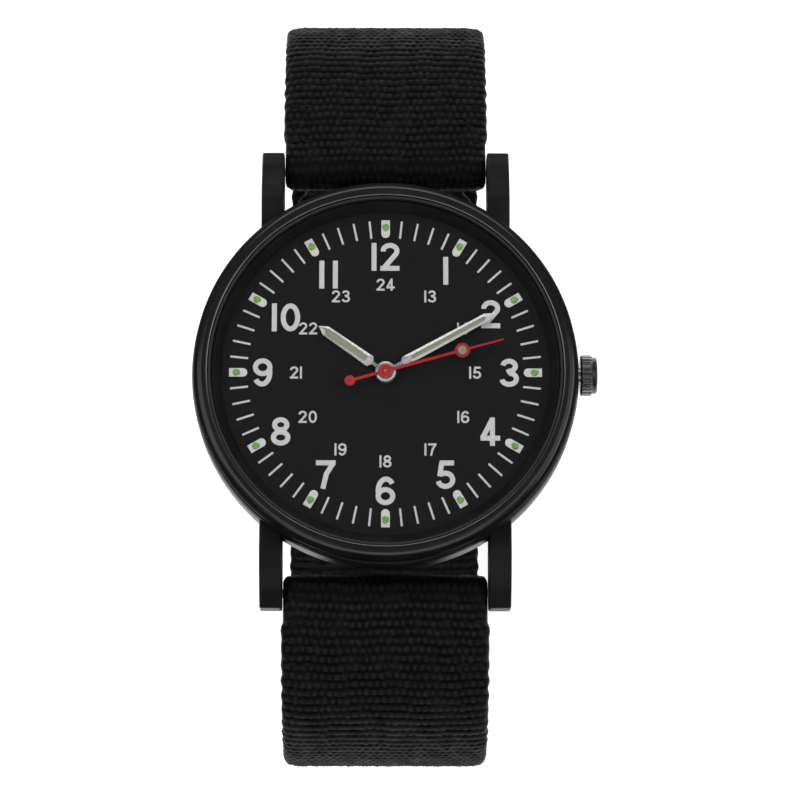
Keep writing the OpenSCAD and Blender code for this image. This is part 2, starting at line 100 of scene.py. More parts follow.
def ramp(mat, source, low, high, into=None, socket=None, at=(0.35, 0.7)):
    node = mat.node_tree.nodes.new("ShaderNodeValToRGB")
    for stop, place, value in zip(node.color_ramp.elements, at, (low, high)):
        stop.position = place
        stop.color = (*value, 1) if isinstance(value, tuple) else (value, value, value, 1)
    wire(mat, source, 0, node, "Fac")
    if into:
        wire(mat, node, "Color", into, socket)
    return node


def bump(mat, source, shader, height, distance):
    node = add(mat, "ShaderNodeBump", Strength=height, Distance=distance * MM)
    wire(mat, source, 0, node, "Height")
    wire(mat, node, "Normal", shader, "Normal")


def coated(name, color, rough, wear=0.05, grain=900, coat=0.0, spec=0.5):
    """Plated or painted metal: fine grain, and a slight unevenness of its gloss."""
    mat, shader = principled(name, color, rough, spec=spec, coat=coat, coat_rough=0.06)
    patches = noise(mat, 90)
    ramp(mat, patches, rough - wear, rough + wear, shader, "Roughness")
    tint = noise(mat, 260, 2)
    lighter = tuple(min(1, c * 1.25 + 0.002) for c in color)
    ramp(mat, tint, color, lighter, shader, "Base Color")
    bump(mat, noise(mat, grain * 10, 2), shader, 0.12, 0.004)
    return mat


def metal(name, color, rough, stretch=(1, 1, 1), grain=4000):
    mat, shader = principled(name, color, rough, metal=1.0)
    lines = noise(mat, grain, 3, stretch)
    ramp(mat, lines, rough * 0.7, rough * 1.35, shader, "Roughness")
    bump(mat, lines, shader, 0.08, 0.003)
    darker = tuple(c * 0.9 for c in color)
    ramp(mat, noise(mat, 300, 2), darker, color, shader, "Base Color")
    return mat


def flat_paint(name, color, rough=0.55, speck=0.1, spec=0.3):
    mat, shader = principled(name, color, rough, spec=spec)
    darker = tuple(c * (1 - speck) for c in color)
    ramp(mat, noise(mat, 4200, 3), darker, color, shader, "Base Color")
    bump(mat, noise(mat, 9000, 2), shader, 0.15, 0.006)
    return mat


def woven(name, color, light):
    """Nylon yarn: filaments along and across the bumps of the weave."""
    mat, shader = principled(name, color, 0.62, spec=0.1)
    fibres = noise(mat, 1500, 5, (3.5, 1, 1))
    ramp(mat, fibres, color, light, shader, "Base Color", at=(0.3, 0.75))
    ramp(mat, noise(mat, 700, 3), 0.5, 0.75, shader, "Roughness")
    bump(mat, fibres, shader, 0.5, 0.05)
    return mat


def clear_glass(name):
    mat = bpy.data.materials.new(name)
    mat.use_nodes = True
    tree = mat.node_tree
    tree.nodes.clear()
    out = tree.nodes.new("ShaderNodeOutputMaterial")
    mix = tree.nodes.new("ShaderNodeMixShader")
    through = tree.nodes.new("ShaderNodeBsdfTransparent")
    gloss = tree.nodes.new("ShaderNodeBsdfGlossy")
    gloss.inputs["Roughness"].default_value = 0.02
    gloss.inputs["Color"].default_value = (0.85, 0.9, 0.92, 1)
    mix.inputs[0].default_value = 0.007
    tree.links.new(through.outputs[0], mix.inputs[1])
    tree.links.new(gloss.outputs[0], mix.inputs[2])
    tree.links.new(mix.outputs[0], out.inputs[0])
    return mat


CASE = coated("case_coating", (0.004, 0.004, 0.0045), 0.36, wear=0.06, spec=0.14)
CROWN = coated("crown_coating", (0.004, 0.004, 0.0045), 0.25, wear=0.05, coat=0.2, spec=0.5)
FLUTES = coated("crown_flutes", (0.006, 0.006, 0.0065), 0.16, wear=0.05, coat=1.0, spec=1.0)
GLOSS = coated("bezel_coating", (0.002, 0.002, 0.0022), 0.17, wear=0.04, coat=0.05, spec=0.72)
SATIN = coated("bezel_side_coating", (0.002, 0.002, 0.0022), 0.5, wear=0.06, spec=0.02)
LIP = metal("bezel_lip", (0.26, 0.26, 0.265), 0.2)
REHAUT = coated("rehaut_coating", (0.003, 0.003, 0.0034), 0.45, wear=0.06, spec=0.2)
DIAL = flat_paint("dial_paint", (0.0060, 0.0057, 0.0063), 0.6, speck=0.22, spec=0.13)
PRINT = flat_paint("dial_print", (0.36, 0.36, 0.36), 0.6, speck=0.14)
MARK = flat_paint("marker_print", (0.38, 0.385, 0.37), 0.55, speck=0.12)
GREEN = flat_paint("marker_lume", (0.16, 0.29, 0.075), 0.7, speck=0.5)
HAND_LUME = flat_paint("hand_lume", (0.17, 0.185, 0.125), 0.75, speck=0.25)
SILVER = metal("hand_silver", (0.8, 0.8, 0.8), 0.3, (1, 1, 1), 6000)
RED = coated("hand_red", (0.20, 0.006, 0.009), 0.35, wear=0.05, coat=0.25)
STEEL = metal("steel", (0.55, 0.55, 0.56), 0.28, (1, 6, 6), 3000)
BRUSHED = metal("case_back_steel", (0.5, 0.5, 0.51), 0.3, (1, 12, 12), 2600)
BRASS = metal("gilt_brass", (0.74, 0.56, 0.27), 0.3, (1, 1, 1), 3500)
COPPER = metal("copper_wire", (0.62, 0.27, 0.13), 0.35, (14, 1, 1), 3000)
RUBBER = flat_paint("rubber", (0.02, 0.02, 0.02), 0.75, speck=0.3)
HOLDER = flat_paint("holder_plastic", (0.62, 0.62, 0.58), 0.5, speck=0.06)
BOARD = coated("circuit_board", (0.01, 0.10, 0.035), 0.3)
CHIP = flat_paint("chip_resin", (0.014, 0.014, 0.015), 0.5, speck=0.3)
WEB = woven("webbing", (0.0017, 0.0017, 0.0018), (0.0045, 0.0045, 0.0047))
# painted highlight and painted shade: a lighter copy of the webbing for the beads' crests and a darker copy for the
# hollows between the yarns
WEB_PAINTED_HIGHLIGHT = woven("webbing_painted_highlight_on_beads", (0.004, 0.004, 0.0042), (0.0105, 0.0105, 0.011))
WEB_PAINTED_SHADE = woven("webbing_painted_shade_between_yarns", (0.0006, 0.0006, 0.0006), (0.0015, 0.0015, 0.0015))
MELTED = coated("melted_nylon", (0.006, 0.006, 0.006), 0.35, wear=0.08)
THREAD = woven("thread", (0.0025, 0.0025, 0.0025), (0.007, 0.007, 0.007))
BUCKLE = coated("buckle_coating", (0.006, 0.006, 0.0065), 0.3, wear=0.06, coat=0.2, spec=0.4)
GLASS = clear_glass("crystal_glass")


# ---------------------------------------------------------------- mesh tools
def piece(name, verts, faces, body, mat, smooth=True, parts=None):
    """A mesh piece from points in millimetres. parts gives a material index per face."""
    mesh = bpy.data.meshes.new(name)
    mesh.from_pydata([tuple(c * MM for c in v) for v in verts], [], faces)
    mats = mat if isinstance(mat, (list, tuple)) else [mat]
    for one in mats:
        mesh.materials.append(one)
    mesh.polygons.foreach_set("use_smooth", [smooth] * len(mesh.polygons))
    if parts is not None:
        mesh.polygons.foreach_set("material_index", parts)
    mesh.validate()
    obj = bpy.data.objects.new(name, mesh)
    bpy.context.scene.collection.objects.link(obj)
    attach(obj, body)
    return obj


def tidy_normals(obj):
    bm = bmesh.new()
    bm.from_mesh(obj.data)
    bmesh.ops.remove_doubles(bm, verts=bm.verts, dist=1e-7)
    bmesh.ops.recalc_face_normals(bm, faces=bm.faces)
    bm.to_mesh(obj.data)
    bm.free()
    return obj


def weighted(obj):
    mod = obj.modifiers.new("normals", "WEIGHTED_NORMAL")
    mod.keep_sharp = False
    mod.weight = 80
    return obj


def bevelled(obj, width, segments=3, angle=25):
    mod = obj.modifiers.new("edges", "BEVEL")
    mod.width = width * MM
    mod.segments = segments
    mod.limit_method = "ANGLE"
    mod.angle_limit = math.radians(angle)
    mod.harden_normals = False
    return weighted(obj)


def rounded(points, closed, radius, steps=4):
    """A polyline with each corner rounded. radius is one number or one per point."""
    out = []
    n = len(points)
    for i, p in enumerate(points):
        r = radius[i] if isinstance(radius, (list, tuple)) else radius
        if r <= 0 or (not closed and i in (0, n - 1)):
            out.append(tuple(p))
            continue
        p = Vector(p)
        a, b = Vector(points[i - 1]) - p, Vector(points[(i + 1) % n]) - p
        half = a.angle(b) / 2
        if half > math.pi / 2 - 0.02:
            out.append(tuple(p))
            continue
        reach = min(r / math.tan(half), a.length * 0.48, b.length * 0.48)
        start, end = p + a.normalized() * reach, p + b.normalized() * reach
        for k in range(steps + 1):
            t = k / steps
            out.append(tuple(start * (1 - t) ** 2 + p * 2 * t * (1 - t) + end * t**2))
    return out


def lathe(name, profile, body, mat, segments=192, axis="z", centre=(0, 0, 0), finish=None):
    """Turns a profile of (radius, height) about Z, or about X when axis is x.

    finish maps the edges that don't take the first material to the index of their own."""
    finish = finish or {}
    verts, faces = [], []
    n = len(profile)
    for i in range(segments):
        a = TAU * i / segments
        for r, h in profile:
            p = (r * math.cos(a), r * math.sin(a), h)
            p = p if axis == "z" else (p[2], p[0], p[1])
            verts.append(tuple(c + d for c, d in zip(p, centre)))
    for i in range(segments):
        j = (i + 1) % segments
        for k in range(n):
            m = (k + 1) % n
            faces.append((i * n + k, j * n + k, j * n + m, i * n + m))
    parts = [finish.get(k, 0) for k in range(n)] * segments
    return tidy_normals(piece(name, verts, faces, body, mat, parts=parts))


def prism(name, outline, low, high, body, mat, place=None, smooth=True):
    """A polygon raised from low to high, then put in place by a function of (x, y, z)."""
    n = len(outline)
    verts = [(x, y, z) for z in (low, high) for x, y in outline]
    faces = [tuple(range(n))[::-1], tuple(range(n, 2 * n))]
    faces += [(i, (i + 1) % n, n + (i + 1) % n, n + i) for i in range(n)]
    if place:
        verts = [place(*v) for v in verts]
    return tidy_normals(piece(name, verts, faces, body, mat, smooth))


def merged(name, pieces, body):
    """Joins several mesh pieces into one."""
    bm = bmesh.new()
    mats = []
    for obj in pieces:
        shift = len(mats)
        mats += list(obj.data.materials)
        first = len(bm.faces)
        bm.from_mesh(obj.data)
        bm.faces.ensure_lookup_table()
        for f in bm.faces[first:]:
            f.material_index += shift
        bpy.data.objects.remove(obj)
    mesh = bpy.data.meshes.new(name)
    kept = list(dict.fromkeys(mats))
    for f in bm.faces:
        f.material_index = kept.index(mats[f.material_index])
    bm.to_mesh(mesh)
    bm.free()
    for m in kept:
        mesh.materials.append(m)
    obj = bpy.data.objects.new(name, mesh)
    bpy.context.scene.collection.objects.link(obj)
    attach(obj, body)
    return obj


def turned(angle):
    """Places a point drawn along +Y at an angle clockwise from 12."""
    s, c = math.sin(math.radians(angle)), math.cos(math.radians(angle))
    return lambda x, y, z: (x * c + y * s, y * c - x * s, z)


# ---------------------------------------------------------------- case
barrel = rounded(
    [(17.1, 1.3), (18.15, 1.3), (18.8, 1.95), (18.95, 2.6), (18.95, 5.5), (18.8, 6.1),
     (18.5, 6.34), (17.9, 6.34), (17.9, 7.1), (17.1, 7.1), (17.1, 6.3), (16.6, 6.3),
     (16.6, 1.95), (17.1, 1.95)],
    True, [0.05, 0.15, 0.4, 0.8, 0.6, 0.3, 0.1, 0, 0.05, 0.05, 0, 0.05, 0.05, 0.05])
case = weighted(lathe("case_barrel", barrel, "head", CASE, 256))
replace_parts(case, "case_middle")


def lug(name, sx, sy):
    side = rounded(
        [(13.7, 1.5), (13.7, 5.7), (17.6, 6.08), (19.4, 5.7), (21.2, 4.92), (LUG_TIP, 3.78),
         (LUG_TIP, 1.35), (22.2, 0.9), (20.2, 0.78), (17, 1.25)],
        True, [0, 0, 2.0, 4.0, 4.0, 0.35, 0.5, 0.5, 2.0, 2.0], 5)
    obj = prism(name, side, LUG_IN, LUG_IN + LUG_W, "head", CASE,
                lambda y, z, x: (sx * x, sy * y, z))
    return bevelled(obj, 0.2, 3, 50)


for sx in (-1, 1):
    for sy in (-1, 1):
        lug(f"lug_{'right' if sx > 0 else 'left'}_{'12' if sy > 0 else '6'}", sx, sy)

# the bezel: a shallow step at its foot, a round shoulder, a flat top and a fine lip round the crystal;
# the lip is bright, and the shoulder's lower half and the foot are duller than the top
bezel_arc = [(17.86 + 0.88 * math.cos(a), 7.53 + 0.88 * math.sin(a))
             for a in [math.radians(90 - 7.5 * k) for k in range(13)]]
lip_arc = [(17.46 - 0.14 * math.cos(a), 8.23 + 0.14 * math.sin(a))
           for a in [math.radians(10 * k) for k in range(10)]]
bezel_profile = ([(17.32, 7.15)] + lip_arc + bezel_arc
                 + [(18.73, 6.95), (18.62, 6.5), (18.5, 6.4), (17.93, 6.4), (17.93, 7.15)])
bezel_finish = {**dict.fromkeys(range(1, 10), 1), **dict.fromkeys(range(16, 26), 2)}
bezel = weighted(lathe("bezel_ring", bezel_profile, "head", [GLOSS, LIP, SATIN], 256,
                       finish=bezel_finish))
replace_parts(bezel, "bezel")

gasket = lathe("crystal_seal", rounded([(17.03, 7.44), (17.29, 7.44), (17.29, 8.2), (17.03, 8.2)],
                                       True, 0.08), "head", RUBBER, 192)
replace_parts(gasket, "crystal_gasket")

rehaut = lathe("rehaut", rounded([(16.1, 6.33), (17.0, 6.33), (17.0, 7.37), (16.8, 7.37),
                                  (16.1, 6.5)], True, 0.05), "head", REHAUT, 256)
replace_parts(rehaut, "rehaut_ring")

# ---------------------------------------------------------------- dial printing
PRINT_T = 0.025


def quarter(cx, cy, rx, ry, a0, a1, steps=14):
    return [(cx + rx * math.cos(math.radians(a0 + (a1 - a0) * k / steps)),
             cy + ry * math.sin(math.radians(a0 + (a1 - a0) * k / steps))) for k in range(steps + 1)]


def glyph(digit, w):
    """Strokes of a digit one unit high, as centre lines inset by half the stroke w."""
    h = w / 2
    wide = 0.68
    mid = wide / 2
    if digit == "0":
        return [quarter(mid, 0.5, mid - h, 0.5 - h, 0, 360, 36)], wide
    if digit == "1":
        return [[(h, 0), (h, 1)]], w
    if digit == "2":
        bowl = quarter(mid, 0.71, mid - h - 0.01, 0.29 - h, 185, -38, 22)
        return [bowl + [(h + 0.03, h + 0.01)], [(0, h), (wide - 0.01, h)]], wide
    if digit == "3":
        upper = quarter(mid - 0.01, 0.735, mid - h - 0.035, 0.265 - h, 172, -90, 20)
        lower = quarter(mid - 0.01, 0.285, mid - h, 0.285 - h, 90, -172, 22)
        return [upper + [(mid - 0.09, 0.47 + h / 2)], lower], wide
    if digit == "4":
        return [[(0.5 - h, 0), (0.5 - h, 1)], [(0, 0.27), (wide, 0.27)],
                [(0.5 - h, 0.97 - h / 3), (h * 0.75, 0.27)]], wide
    if digit == "5":
        bowl = quarter(mid - 0.01, 0.32, mid - h, 0.32 - h, 132, -168, 26)
        return [[(0.13, 1 - h), (wide - 0.05, 1 - h)], [(0.13 + h * 0.8, 1 - h), (h + 0.045, 0.44)], bowl], wide
    if digit in "69":
        bowl = quarter(mid, 0.315, mid - h, 0.315 - h, 0, 360, 32)
        back = quarter(mid + 0.02, 0.5, mid - h + 0.02, 0.5 - h, 190, 62, 18)
        hook = quarter(mid + 0.02, 0.5, mid - h + 0.02, 0.5 - h, 62, 38, 4)
        strokes = [bowl, back[:-1] + hook]
        if digit == "9":
            strokes = [[(wide - x, 1 - y) for x, y in s] for s in strokes]
        return strokes, wide
    if digit == "7":
        return [[(0, 1 - h), (wide, 1 - h)], [(wide - h * 0.9, 1 - h), (0.36, 0.52), (0.24, 0)]], wide
    return [quarter(mid, 0.735, mid - h - 0.04, 0.265 - h, 0, 360, 28),
            quarter(mid, 0.285, mid - h, 0.285 - h, 0, 360, 28)], wide


def stroke_mesh(line, half, verts, faces, z0, z1):
    """A raised band of even width along a line."""
    closed = (Vector(line[0]) - Vector(line[-1])).length < 1e-6
    pts = [Vector(p) for p in (line[:-1] if closed else line)]
    n = len(pts)
    base = len(verts)
    for i, p in enumerate(pts):
        before = pts[i - 1] if closed or i else None
        after = pts[(i + 1) % n] if closed or i < n - 1 else None
        d0 = (p - before).normalized() if before is not None else (after - p).normalized()
        d1 = (after - p).normalized() if after is not None else d0
        side = Vector((-(d0 + d1).y, (d0 + d1).x)).normalized()
        reach = half / max(0.45, side.dot(Vector((-d0.y, d0.x))))
        for z in (z0, z1):
            for s in (-1, 1):
                q = p + side * (s * reach)
                verts.append((q.x, q.y, z))
    for i in range(n if closed else n - 1):
        a, b = base + 4 * i, base + 4 * ((i + 1) % n)
        faces += [(a + 2, b + 2, b + 3, a + 3), (a, b, b + 2, a + 2), (a + 1, a + 3, b + 3, b + 1)]
    if not closed:
        for k in (base, base + 4 * (n - 1)):
            faces.append((k, k + 1, k + 3, k + 2))


def numeral(text, centre, height, stroke, verts, faces):
    """Digits side by side, centred on a point of the dial, upright."""
    w = stroke / height
    gap = 0.135 if text != "11" else 0.3
    glyphs = [glyph(d, w) for d in text]
    total = sum(g[1] for g in glyphs) + gap * (len(glyphs) - 1)
    x = -total / 2
    for strokes, wide in glyphs:
        for k, line in enumerate(strokes):
            placed = [(centre[0] + (x + px) * height, centre[1] + (py - 0.5) * height) for px, py in line]
            lift = 0.0012 * (k + 1)
            stroke_mesh(placed, stroke / 2, verts, faces, DIAL_Z, DIAL_Z + PRINT_T + lift)
        x += wide + gap


HOUR_PLACES = {12: (0, 11.6), 1: (5.9, 10.2), 2: (10.3, 5.85), 3: (12.1, 0), 4: (10.2, -5.85),
               5: (5.85, -10.1), 6: (0, -11.7), 7: (-5.8, -10.1), 8: (-10.2, -5.85), 9: (-12.0, 0),
               10: (-9.75, 5.5), 11: (-5.6, 9.8)}
verts, faces = [], []
for hour, place in HOUR_PLACES.items():
    numeral(str(hour), place, 2.8, 0.49, verts, faces)
tidy_normals(piece("hour_numerals", verts, faces, "head", PRINT, False))
verts, faces = [], []
for hour in range(1, 13):
    a = math.radians(30 * hour)
    numeral(str(hour + 12), (8.75 * math.sin(a), 8.8 * math.cos(a)), 1.2, 0.19, verts, faces)
tidy_normals(piece("afternoon_numerals", verts, faces, "head", PRINT, False))
verts, faces = [], []
for minute in range(60):
    if minute % 5:
        place = turned(6 * minute)
        line = [place(0, MARK_IN, 0)[:2], place(0, MARK_OUT - 0.03, 0)[:2]]
        stroke_mesh(line, 0.1, verts, faces, DIAL_Z, DIAL_Z + PRINT_T)
tidy_normals(piece("minute_track", verts, faces, "head", PRINT, False))


def marker(angle):
    """A raised plot with a round inner end, and a soft drop of lume near its outer end."""
    w, rings, steps = 0.42, 5, 20
    place = turned(angle)
    outline = [(w * math.cos(a), MARK_IN + w + w * math.sin(a)) for a in
               [math.radians(180 + 180 * k / 14) for k in range(15)]] + [(w, MARK_OUT), (-w, MARK_OUT)]
    plot = prism(f"plot_{angle}", outline, DIAL_Z, DIAL_Z + PLOT_T, "head", MARK, place, False)
    verts, faces = [], []
    for r in range(rings):
        t = r / (rings - 1)
        for k in range(steps):
            a = TAU * k / steps
            wob = 1 + 0.06 * math.sin(3 * a + angle) + 0.04 * math.sin(5 * a + 2 * angle)
            rad = 0.43 * math.cos(t * math.pi / 2) ** 0.7 * wob if r < rings - 1 else 0.02
            verts.append(place(rad * 0.8 * math.cos(a), 14.55 + rad * 0.9 * math.sin(a),
                               DIAL_Z + PLOT_T + 0.09 * math.sin(t * math.pi / 2)))
    for r in range(rings - 1):
        for k in range(steps):
            m = (k + 1) % steps
            faces.append((r * steps + k, r * steps + m, (r + 1) * steps + m, (r + 1) * steps + k))
    faces.append(tuple(range((rings - 1) * steps, rings * steps)))
    faces.append(tuple(range(steps))[::-1])
    drop = tidy_normals(piece(f"drop_{angle}", verts, faces, "head", GREEN))
    return [plot, drop]


plots = merged("hour_plots", [p for hour in range(12) for p in marker(30 * hour)], "head")
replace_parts(plots, "hour_markers")


# ---------------------------------------------------------------- hands
def pointed_hand(name, body, angle, length, width, body_y, hub_r, hole_r, fill, z, node, lume_node):
    """A hand with two polished flanks that rise to a channel filled with lume."""
    place = turned(angle)
    low, rim, top = z, z + 0.05, z + 0.15
    fw, f0, f1 = fill
    point = length - 0.85
    outer = [(-0.165, body_y - 0.3), (-width / 2, body_y), (-width * 0.44, point), (0, length),
             (width * 0.44, point), (width / 2, body_y), (0.165, body_y - 0.3)]
    inner = [(-fw / 2, f0), (-fw / 2, f0), (-fw * 0.47, f1 - 0.25), (0, f1),
             (fw * 0.47, f1 - 0.25), (fw / 2, f0), (fw / 2, f0)]
    verts, faces = [], []
    n = len(outer)
    for pts, h in ((outer, low), (outer, rim), (inner, top), (inner, top - 0.1)):
        verts += [place(x, y, h) for x, y in pts]
    for level in range(3):
        for k in range(n - 1):
            a, b = level * n + k, level * n + k + 1
            faces.append((a, b, b + n, a + n))
        faces.append((level * n + n - 1, level * n, (level + 1) * n, (level + 1) * n + n - 1))
    faces.append(tuple(range(n)))
    blade = tidy_normals(piece(name + "_blade", verts, faces, body, SILVER, False))
    neck = prism(name + "_neck", [(-0.165, hub_r * 0.8), (-0.165, body_y - 0.2), (0.165, body_y - 0.2),
                                  (0.165, hub_r * 0.8)], low, low + 0.12, body, SILVER, place, False)
    ring = rounded([(hole_r, low), (hub_r, low), (hub_r, low + 0.03), (hub_r * 0.93, low + 0.11),
                    (hub_r * 0.78, low + 0.15), (hole_r, low + 0.15)], True, [0, 0.02, 0.03, 0.04, 0.04, 0.02])
    hub = lathe(name + "_hub", ring, body, SILVER, 64)
    hand = merged(name, [blade, neck, hub], body)
    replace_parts(hand, node)
    g = 0.03
    shape = [(-fw / 2 + g, f0 + g), (-fw * 0.47 + g, f1 - 0.25), (0, f1 - g),
             (fw * 0.47 - g, f1 - 0.25), (fw / 2 - g, f0 + g)]
    lume = prism(name + "_lume", shape, low + 0.03, top - 0.065, body, HAND_LUME, place, False)
    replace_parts(lume, lume_node)


pointed_hand("hour_pointer", "hours", HOUR_ANGLE, length=8.0, width=1.15, body_y=1.85, hub_r=1.08,
             hole_r=0.88, fill=(0.62, 2.3, 7.2), z=6.55, node="hour_hand", lume_node="hour_lume")
pointed_hand("minute_pointer", "minutes", MINUTE_ANGLE, length=12.1, width=0.95, body_y=2.1, hub_r=1.05,
             hole_r=0.4, fill=(0.4, 2.9, 11.2), z=6.85, node="minute_hand", lume_node="minute_lume")


def seconds():
    place = turned(SECOND_ANGLE)
    z0, z1 = 7.12, 7.24
    eye_at, tail_at, hub_at = [place(0, y, 0) for y in (7.77, -3.6, 0)]

    def red_disc(name, profile, radius, segments, centre):
        return lathe(name, rounded(profile, True, radius), "seconds", RED, segments, centre=centre)

    half = [(0.14, -3.6), (0.15, 1), (0.13, 7.5), (0.09, 11.9)]
    outline = [(-x, y) for x, y in half] + [(0, 12.0)] + half[::-1]
    arm = prism("arm", outline, z0 + 0.02, z1 - 0.02, "seconds", RED, place, False)
    ring = red_disc("ring", [(0.46, z0), (0.73, z0), (0.73, z1), (0.46, z1)], 0.05, 48, eye_at)
    disc = red_disc("disc", [(0.01, z0), (0.52, z0), (0.52, z1), (0.01, z1)], [0, 0.04, 0.05, 0], 48, tail_at)
    hub = red_disc("hub", [(0.01, z0), (0.7, z0), (0.7, z1 + 0.02), (0.55, z1 + 0.08), (0.22, z1 + 0.09),
                           (0.19, z1 + 0.05), (0.01, z1 + 0.05)], [0, 0.02, 0.05, 0.05, 0.02, 0.01, 0], 64, hub_at)
    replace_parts(merged("seconds_pointer", [arm, ring, disc, hub], "seconds"), "seconds_hand")
    dot = lathe("seconds_dot", [(0.01, z0 + 0.02), (0.45, z0 + 0.02), (0.45, z1 - 0.03), (0.3, z1),
                                (0.01, z1 + 0.02)], "seconds", HAND_LUME, 40, centre=eye_at)
    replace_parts(dot, "seconds_lume")


seconds()


# ---------------------------------------------------------------- crown
def crown():
    """The crown's knob; its profile is (radius, x, share of the flutes' depth)."""
    flutes, per, depth = 24, 8, 0.2
    segments = flutes * per
    profile = [(0.5, 19.1, 0), (1.42, 19.08, 0), (1.8, 19.07, 0.2), (1.93, 19.12, 0.6), (2.0, 19.24, 1),
               (2.0, 19.6, 1), (2.0, 20.02, 1), (1.95, 20.14, 0.7), (1.84, 20.2, 0.15), (1.8, 20.22, 0),
               (1.8, 20.5, 0), (1.77, 20.6, 0), (1.66, 20.68, 0), (1.4, 20.71, 0), (0.6, 20.715, 0),
               (0.02, 20.72, 0)]
    fluted = range(3, 7)
    verts, faces, parts = [], [], []
    n = len(profile)
    for i in range(segments):
        a = TAU * i / segments
        t = (i % per) / per
        dip = depth * max(0.0, math.cos(TAU * (t - 0.5))) ** 0.6 if abs(t - 0.5) < 0.25 else 0.0
        for r, x, k in profile:
            rr = r - dip * k
            verts.append((x, rr * math.cos(a), STEM_Z + rr * math.sin(a)))
    for i in range(segments):
        j = (i + 1) % segments
        for k in range(n - 1):
            faces.append((i * n + k, j * n + k, j * n + k + 1, i * n + k + 1))
            parts.append(int(k in fluted))
    faces.append(tuple(i * n + n - 1 for i in range(segments)))
    obj = weighted(tidy_normals(piece("crown_knob", verts, faces, "crown", [CROWN, FLUTES],
                                      parts=parts + [0])))
    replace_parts(obj, "crown")


crown()

# ---------------------------------------------------------------- strap
START = -14.0
LOW_R, MID_R, INNER_R = 50.0, 52.0, 47.35
HOLE_PITCH = 6
RIB, BEAD, WEAVE = 0.86, 0.72, 0.30


def arc(path, radius, turn, step):
    """Adds a clockwise arc to a path of (y, z, heading)."""
    y, z, h = path[-1]
    cy, cz = y + radius * math.sin(math.radians(h)), z - radius * math.cos(math.radians(h))
    n = max(2, int(math.radians(turn) * radius / step))
    for i in range(1, n + 1):
        k = math.radians(h - turn * i / n)
        path.append((cy - radius * math.sin(k), cz + radius * math.cos(k), h - turn * i / n))
    return cy, cz


def spline(points, n):
    """A smooth curve through points."""
    p = np.array([points[0]] + list(points) + [points[-1]], float)
    out = []
    for i in range(1, len(p) - 2):
        for t in np.linspace(0, 1, n, endpoint=i == len(p) - 3):
            out.append(0.5 * ((2 * p[i]) + (p[i + 1] - p[i - 1]) * t
                              + (2 * p[i - 1] - 5 * p[i] + 4 * p[i + 1] - p[i + 2]) * t**2
                              + (3 * p[i] - p[i - 1] - 3 * p[i + 1] + p[i + 2]) * t**3))
    return np.array(out)


def local(a, b):
    """A point beside the spring bar, a along the strap's start and b outwards, as (y, z)."""
    s, c = math.sin(math.radians(START)), math.cos(math.radians(START))
    return BAR_Y + a * c - b * s, BAR_Z + a * s + b * c


def resampled(points, step):
    points = np.asarray(points, float)
    gap = np.r_[0, np.cumsum(np.linalg.norm(np.diff(points, axis=0), axis=1))]
    keep = np.r_[True, np.diff(gap) > 1e-6]
    gap, points = gap[keep], points[keep]
    n = int(gap[-1] / step) + 1
    s = np.linspace(0, gap[-1], n)
    out = np.stack([np.interp(s, gap, points[:, k]) for k in (0, 1)], 1)
    d = np.gradient(out, s, axis=0)
    d /= np.linalg.norm(d, axis=1)[:, None]
    return s, out, np.stack([-d[:, 1], d[:, 0]], 1)


def fold_line():
    """The turned-under end of the webbing, up to and round the spring bar."""
    r = 0.8 + WEB_T / 2
    under = spline([local(9.3, -0.80), local(7.5, -0.72), local(5.2, -0.52), local(3.6, -0.45), local(2.1, -0.72),
                    local(1.0, -1.12), local(0.35, -1.33)], 10)
    turn = [local(r * math.sin(math.radians(a)), -r * math.cos(math.radians(a))) for a in range(-8, -181, -6)]
    return [tuple(p) for p in under] + turn


start = local(0, 0.8 + WEB_T / 2)
short_line = [(*start, START)]
arc(short_line, 45, 14, 0.4)
arc(short_line, 17, 112, 0.4)
LOW_Y, LOW_Z = arc(short_line, LOW_R, 35, 0.4)
PIN_Y, PIN_Z = short_line[-1][:2]
long_line = [(*start, START)]
arc(long_line, 45, 7, 0.4)
arc(long_line, 16, 119, 0.4)
MID_C = arc(long_line, MID_R, 40, 0.4)
TAIL_C = arc(long_line, INNER_R, 36, 0.4)


def hash01(a, b):
    v = np.sin(a * 12.9898 + b * 78.233) * 43758.5453
    return v - np.floor(v)


def weave(s, x, depth):
    """Height of the woven surface: ribs across the strap, each a row of beads set between its neighbours'."""
    drift = 0.10 * np.sin(0.55 * x + 0.21 * s) + 0.05 * np.sin(1.7 * x - 0.5 * s)
    row = (s + drift) / RIB
    k = np.floor(row)
    f = row - k
    rib = np.sqrt(np.clip(1 - (2 * f - 1) ** 2, 0, 1))
    col = x / BEAD + 0.5 * (k % 2) + 0.12 * (hash01(k, 3.0) - 0.5)
    j = np.floor(col)
    g = col - j
    bead = np.sqrt(np.clip(1 - (2 * g - 1) ** 2, 0, 1))
    jitter = 0.85 + 0.3 * hash01(k, j)
    return depth * rib * (0.2 + 0.8 * bead * jitter)


def section(x0, x1, step):
    """Columns across the webbing: (x, height above the middle as a share of half the thickness)."""
    edge = 0.5
    n = max(3, int((x1 - x0 - 2 * edge) / step))
    flat = [(x, 1.0) for x in np.linspace(x0 + edge, x1 - edge, n)]
    bend = [(edge * (1 - math.sin(math.radians(a))), math.cos(math.radians(a))) for a in (90, 65, 42, 22)]
    return [(x0 + e, h) for e, h in bend] + flat + [(x1 - e, h) for e, h in reversed(bend)]


